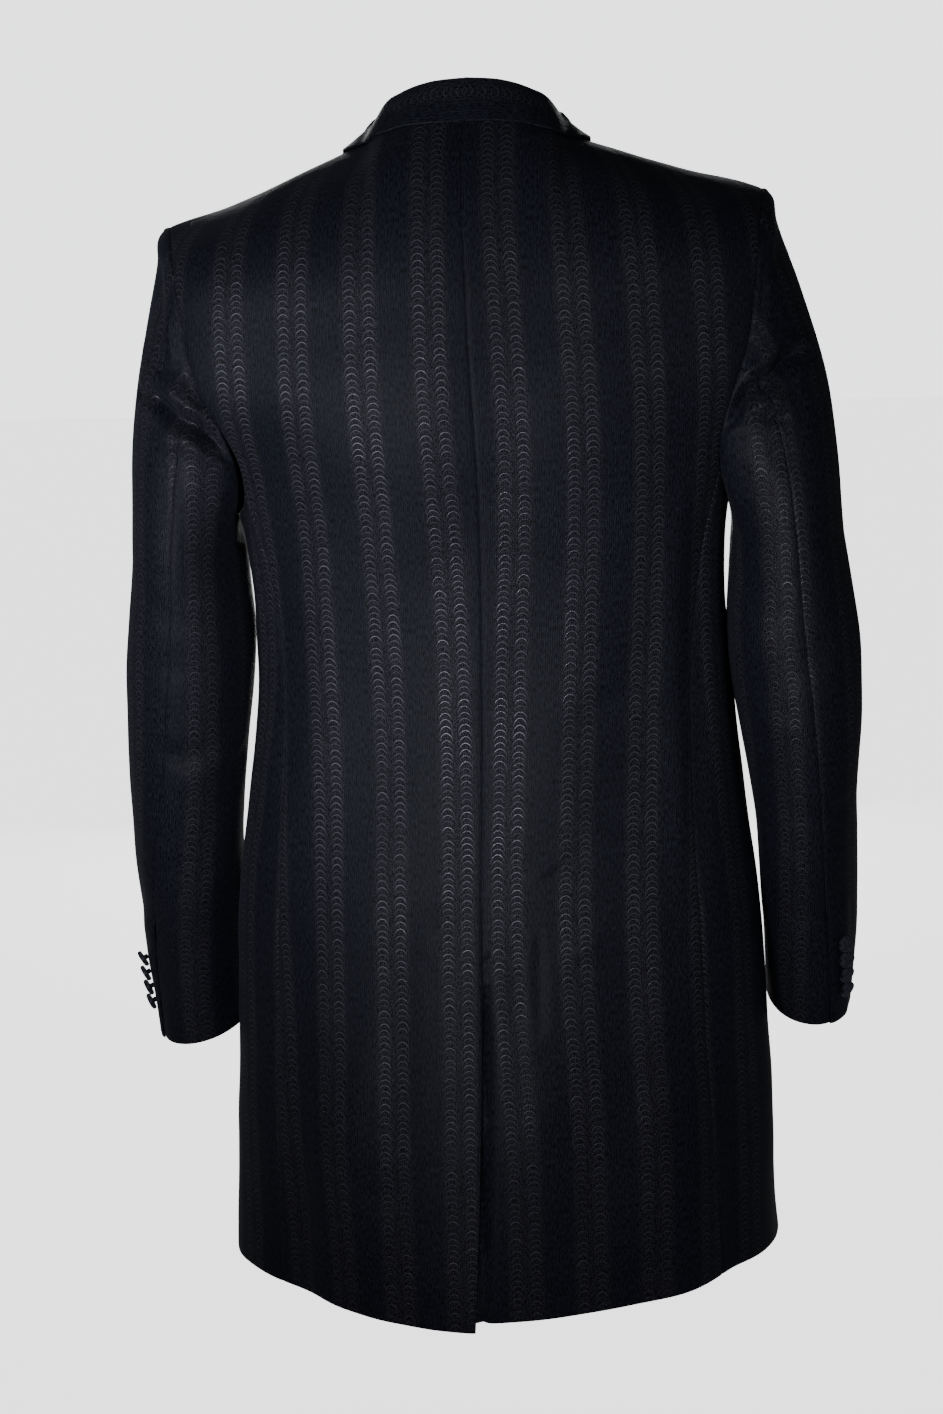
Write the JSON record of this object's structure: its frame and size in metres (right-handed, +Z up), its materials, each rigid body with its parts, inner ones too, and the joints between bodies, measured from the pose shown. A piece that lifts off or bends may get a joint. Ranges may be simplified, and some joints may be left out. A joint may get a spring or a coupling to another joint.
{
  "type": "long blazer",
  "caption": "Long tailored blazer in worn form, with a shawl collar, two-piece sleeves, covered cuff buttons and a centre back vent.",
  "frame": {"origin": "middle of the neck opening, level with the back neck seam", "axes": "+Z up, -Y the way that the wearer faces, +X to the wearer's left"},
  "size_m": [0.586, 0.2921, 0.9507],
  "materials": {
    "jacquard": "near-black navy jacquard with a soft satin sheen",
    "collar_jacquard": "the same jacquard, doubled, with its stripes running along the collar",
    "covered_button": "flat disc covered with the same cloth"
  },
  "bodies": {
    "root": {"back_left": "jacquard", "side_body_left": "jacquard", "front_left": "jacquard", "sleeve_upper_left": "jacquard", "sleeve_under_left": "jacquard", "back_right": "jacquard", "side_body_right": "jacquard", "front_right": "jacquard", "sleeve_upper_right": "jacquard", "sleeve_under_right": "jacquard", "collar_left": "collar_jacquard", "collar_right": "collar_jacquard", "cuff_button_left_1": "covered_button", "cuff_button_left_2": "covered_button", "cuff_button_left_3": "covered_button", "cuff_button_left_4": "covered_button", "cuff_button_right_1": "covered_button", "cuff_button_right_2": "covered_button", "cuff_button_right_3": "covered_button", "cuff_button_right_4": "covered_button", "front_button": "covered_button"}
  },
  "joints": []
}
